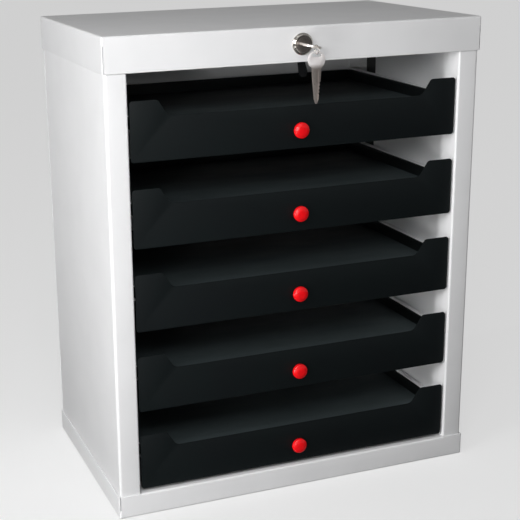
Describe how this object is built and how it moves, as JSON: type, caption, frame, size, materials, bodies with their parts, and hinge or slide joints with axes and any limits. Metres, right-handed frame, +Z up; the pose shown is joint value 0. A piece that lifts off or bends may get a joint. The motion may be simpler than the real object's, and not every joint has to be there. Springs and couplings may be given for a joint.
{
  "type": "small parts drawer cabinet",
  "caption": "White folded-steel cabinet with a stack of shallow black sliding trays, round red knobs and a cam lock in its cap with keys on a ring.",
  "frame": {"origin": "centre of the underside, on the surface that the cabinet stands on", "axes": "+X to the right seen from the front, +Y to the back, +Z up; the trays slide out along -Y"},
  "size_m": [0.4, 0.2736, 0.485],
  "materials": {
    "white_powder_coat": "satin",
    "black_powder_coat": "satin",
    "red_plastic": "gloss",
    "nickel_plate": "polished",
    "zinc_steel": "satin"
  },
  "bodies": {
    "cabinet": {"cap": "white_powder_coat", "base_tray": "white_powder_coat", "side_panel_left": "white_powder_coat", "side_panel_right": "white_powder_coat", "back_panel": "white_powder_coat", "back_rivets": "zinc_steel", "runner_left_1": "white_powder_coat", "runner_left_2": "white_powder_coat", "runner_left_3": "white_powder_coat", "runner_left_4": "white_powder_coat", "runner_left_5": "white_powder_coat", "runner_right_1": "white_powder_coat", "runner_right_2": "white_powder_coat", "runner_right_3": "white_powder_coat", "runner_right_4": "white_powder_coat", "runner_right_5": "white_powder_coat", "lock_housing": "nickel_plate", "lock_nut": "zinc_steel"},
    "tray_1": {"tray_pan_1": "black_powder_coat", "tray_front_1": "black_powder_coat", "knob_1": "red_plastic", "knob_screw_1": "zinc_steel"},
    "tray_2": {"tray_pan_2": "black_powder_coat", "tray_front_2": "black_powder_coat", "knob_2": "red_plastic", "knob_screw_2": "zinc_steel"},
    "tray_3": {"tray_pan_3": "black_powder_coat", "tray_front_3": "black_powder_coat", "knob_3": "red_plastic", "knob_screw_3": "zinc_steel"},
    "tray_4": {"tray_pan_4": "black_powder_coat", "tray_front_4": "black_powder_coat", "knob_4": "red_plastic", "knob_screw_4": "zinc_steel"},
    "tray_5": {"tray_pan_5": "black_powder_coat", "tray_front_5": "black_powder_coat", "knob_5": "red_plastic", "knob_screw_5": "zinc_steel"},
    "lock_core": {"lock_plug": "nickel_plate", "lock_cam": "zinc_steel", "cam_screw": "zinc_steel", "inserted_key": "nickel_plate"},
    "ring": {"key_ring": "nickel_plate"},
    "hanging_key": {"spare_key": "nickel_plate"}
  },
  "joints": [
    {"name": "tray_1_slide", "type": "slide", "parent": "cabinet", "child": "tray_1", "axis": [0, -1, 0], "range_m": [0, 0.16]},
    {"name": "tray_2_slide", "type": "slide", "parent": "cabinet", "child": "tray_2", "axis": [0, -1, 0], "range_m": [0, 0.16]},
    {"name": "tray_3_slide", "type": "slide", "parent": "cabinet", "child": "tray_3", "axis": [0, -1, 0], "range_m": [0, 0.16]},
    {"name": "tray_4_slide", "type": "slide", "parent": "cabinet", "child": "tray_4", "axis": [0, -1, 0], "range_m": [0, 0.16]},
    {"name": "tray_5_slide", "type": "slide", "parent": "cabinet", "child": "tray_5", "axis": [0, -1, 0], "range_m": [0, 0.16]},
    {"name": "lock_turn", "type": "hinge", "parent": "cabinet", "child": "lock_core", "pos_m": [0, -0.12, 0.46775], "axis": [0, -1, 0], "range_deg": [0, 90]},
    {"name": "ring_swing", "type": "hinge", "parent": "lock_core", "child": "ring", "pos_m": [0.001, -0.149, 0.46937], "axis": [0, -1, 0], "range_deg": [-30, 10]},
    {"name": "spare_key_swing", "type": "hinge", "parent": "ring", "child": "hanging_key", "pos_m": [0.001, -0.149, 0.46117], "axis": [0, -1, 0], "range_deg": [-20, 20]}
  ]
}
